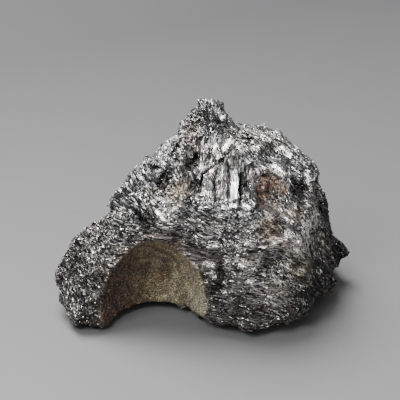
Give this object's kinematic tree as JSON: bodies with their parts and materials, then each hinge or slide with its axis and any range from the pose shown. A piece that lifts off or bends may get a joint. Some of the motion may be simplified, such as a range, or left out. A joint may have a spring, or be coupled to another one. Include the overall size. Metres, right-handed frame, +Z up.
{
  "type": "raw nuummite stone",
  "caption": "Rough broken stone of bladed, silvery-black amphibole crystal, with a blunt peak and a smooth olive-brown hollow in its front.",
  "frame": {"origin": "on the flat underside, under the middle of the stone's box", "axes": "+X to the right along the stone's longest side, -Y out of the front with the smooth hollow, +Z up"},
  "size_m": [0.0592, 0.0402, 0.04],
  "materials": {
    "nuummite": "broken bladed crystal, metallic sheen, silver to near black, with rust-brown patches and a smooth weathered olive-brown hollow"
  },
  "bodies": {
    "root": {"nuummite_stone": "nuummite"}
  },
  "joints": []
}
